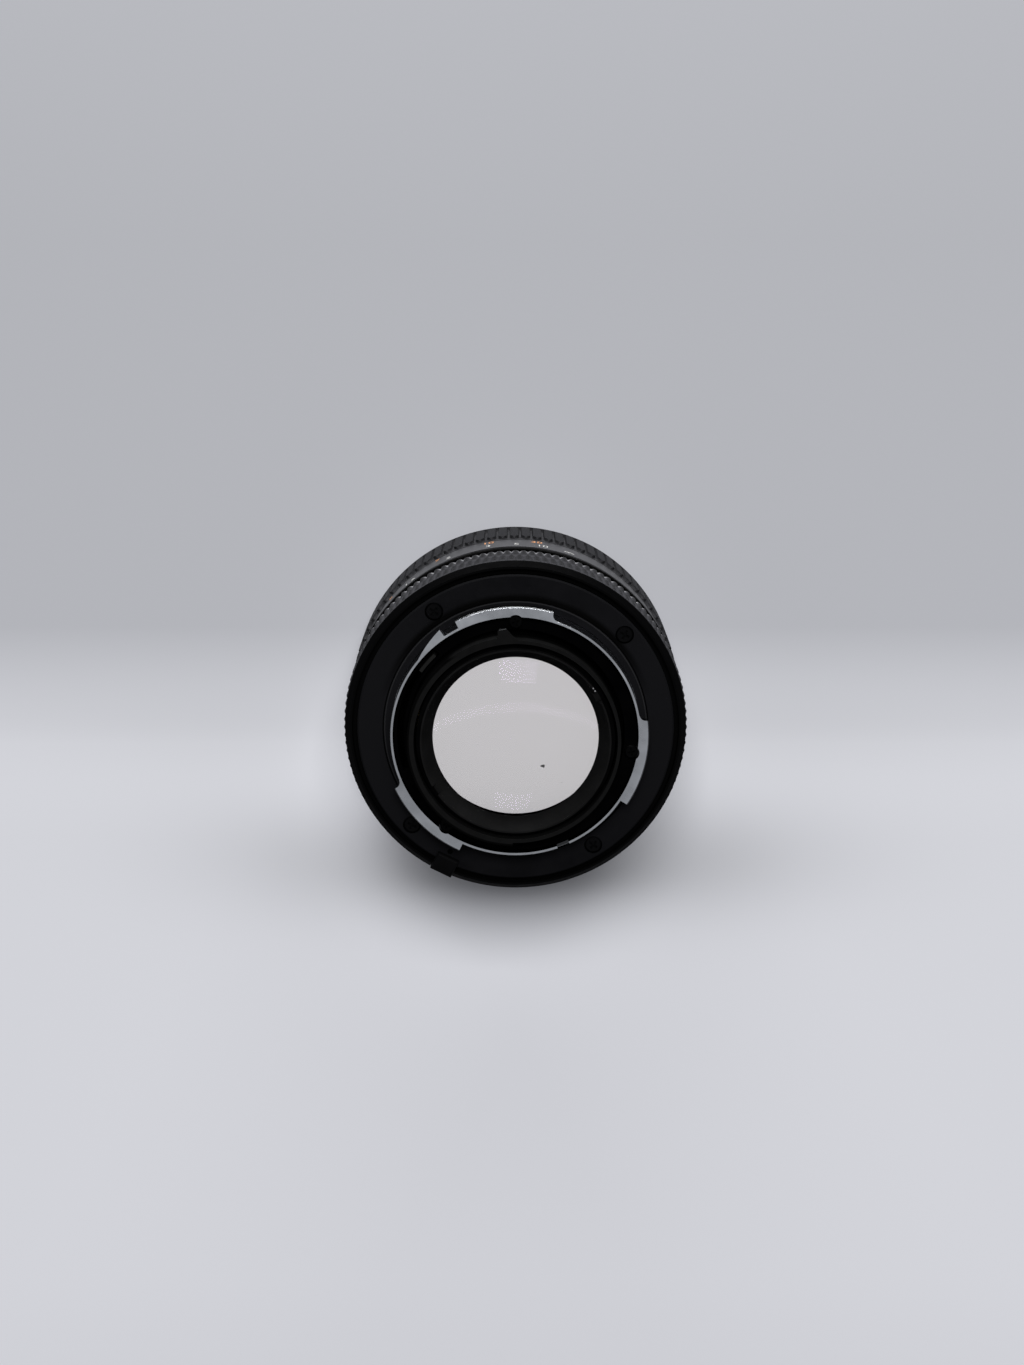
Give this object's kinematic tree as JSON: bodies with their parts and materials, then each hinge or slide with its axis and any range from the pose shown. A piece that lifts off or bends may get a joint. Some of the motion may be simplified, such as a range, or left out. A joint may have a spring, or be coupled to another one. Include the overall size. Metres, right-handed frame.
{
  "type": "camera lens",
  "caption": "Manual focus standard lens for a single lens reflex camera, with a knurled focus grip, a toothed aperture ring and a bayonet mount.",
  "frame": {"origin": "centre of the front rim's face, on the optical axis", "axes": "+Z along the optical axis from the front rim to the mount, +X to the right and +Y up in a view of the mount with the stop-down fin on top"},
  "size_m": [0.0626, 0.0626, 0.0477],
  "materials": {
    "barrel_black": "satin",
    "skirt_black": "satin",
    "ring_black": "satin",
    "front_black": "satin",
    "plate_black": "satin",
    "baffle_black": "matte",
    "cell_black": "matte",
    "retainer_black": "matte",
    "grip_rubber": "matte",
    "bayonet_steel": "satin",
    "lever_grey": "satin",
    "tab_steel": "satin",
    "screw_black": "satin",
    "baffle_screw_steel": "satin",
    "lug_black": "satin",
    "brass": "satin",
    "blade_steel": "satin",
    "spring_steel": "satin",
    "lens_glass": "polished"
  },
  "bodies": {
    "fixed_barrel": {"fixed_barrel": "barrel_black", "index_ring": "barrel_black", "guide_keys": "brass", "detent_ball": "spring_steel", "detent_spring": "spring_steel", "mount_core": "baffle_black", "lever_keeper": "brass", "lever_spring": "spring_steel", "rear_baffle": "baffle_black", "baffle_screws": "baffle_screw_steel", "bayonet": "bayonet_steel", "rear_plate": "plate_black", "mount_screws": "screw_black"},
    "optical_unit": {"front_ring": "front_black", "optical_barrel": "cell_black", "name_ring": "front_black", "front_cell": "cell_black", "front_glass": "lens_glass", "second_glass": "lens_glass", "third_glass": "lens_glass", "iris_housing": "cell_black", "rear_cell": "cell_black", "fourth_glass": "lens_glass", "fifth_glass": "lens_glass", "rear_spacer": "cell_black", "rear_glass": "lens_glass", "rear_retaining_ring": "retainer_black", "clamp_ring": "cell_black"},
    "focus_ring": {"focus_ring": "skirt_black", "focus_sleeve": "brass", "focus_ring_screws": "spring_steel", "focus_grip": "grip_rubber"},
    "aperture_ring": {"aperture_ring": "ring_black", "coupling_lug": "lug_black", "value_lever": "tab_steel"},
    "lever_ring": {"lever_ring": "lever_grey"},
    "iris_drive_ring": {"iris_drive_ring": "brass"},
    "iris_blade_1": {"iris_blade_1": "blade_steel"},
    "iris_blade_2": {"iris_blade_2": "blade_steel"},
    "iris_blade_3": {"iris_blade_3": "blade_steel"},
    "iris_blade_4": {"iris_blade_4": "blade_steel"},
    "iris_blade_5": {"iris_blade_5": "blade_steel"},
    "iris_blade_6": {"iris_blade_6": "blade_steel"}
  },
  "joints": [
    {"name": "focus_travel", "type": "slide", "parent": "fixed_barrel", "child": "optical_unit", "axis": [0, 0, -1], "range_m": [0, 0.00701]},
    {"name": "focus_turn", "type": "hinge", "parent": "optical_unit", "child": "focus_ring", "pos_m": [0, 0, 0.0125], "axis": [0, 0, 1], "range_deg": [0, 200]},
    {"name": "aperture_turn", "type": "hinge", "parent": "fixed_barrel", "child": "aperture_ring", "pos_m": [0, 0, 0.033], "axis": [0, 0, 1], "range_deg": [0, 52]},
    {"name": "lever_turn", "type": "hinge", "parent": "fixed_barrel", "child": "lever_ring", "pos_m": [0, 0, 0.0372], "axis": [0, 0, 1], "range_deg": [0, 24], "stiffness_Nm_per_rad": 0.01, "springref_deg": -11.46},
    {"name": "iris_drive_turn", "type": "hinge", "parent": "optical_unit", "child": "iris_drive_ring", "pos_m": [0, 0, 0.028], "axis": [0, 0, 1], "range_deg": [0, 24.01]},
    {"name": "iris_blade_1_turn", "type": "hinge", "parent": "optical_unit", "child": "iris_blade_1", "pos_m": [0.0206, 0, 0.025], "axis": [0, 0, 1], "range_deg": [0, 36.02]},
    {"name": "iris_blade_2_turn", "type": "hinge", "parent": "optical_unit", "child": "iris_blade_2", "pos_m": [0.0103, 0.01784, 0.025], "axis": [0, 0, 1], "range_deg": [0, 36.02]},
    {"name": "iris_blade_3_turn", "type": "hinge", "parent": "optical_unit", "child": "iris_blade_3", "pos_m": [-0.0103, 0.01784, 0.025], "axis": [0, 0, 1], "range_deg": [0, 36.02]},
    {"name": "iris_blade_4_turn", "type": "hinge", "parent": "optical_unit", "child": "iris_blade_4", "pos_m": [-0.0206, 0, 0.025], "axis": [0, 0, 1], "range_deg": [0, 36.02]},
    {"name": "iris_blade_5_turn", "type": "hinge", "parent": "optical_unit", "child": "iris_blade_5", "pos_m": [-0.0103, -0.01784, 0.025], "axis": [0, 0, 1], "range_deg": [0, 36.02]},
    {"name": "iris_blade_6_turn", "type": "hinge", "parent": "optical_unit", "child": "iris_blade_6", "pos_m": [0.0103, -0.01784, 0.025], "axis": [0, 0, 1], "range_deg": [0, 36.02]}
  ],
  "couplings": [
    {"joint": "focus_travel", "follows": "focus_turn", "m_per_rad": 0.0020053},
    {"joint": "iris_drive_turn", "follows": "lever_turn", "ratio": 1},
    {"joint": "iris_blade_1_turn", "follows": "lever_turn", "ratio": 1.5},
    {"joint": "iris_blade_2_turn", "follows": "lever_turn", "ratio": 1.5},
    {"joint": "iris_blade_3_turn", "follows": "lever_turn", "ratio": 1.5},
    {"joint": "iris_blade_4_turn", "follows": "lever_turn", "ratio": 1.5},
    {"joint": "iris_blade_5_turn", "follows": "lever_turn", "ratio": 1.5},
    {"joint": "iris_blade_6_turn", "follows": "lever_turn", "ratio": 1.5}
  ]
}
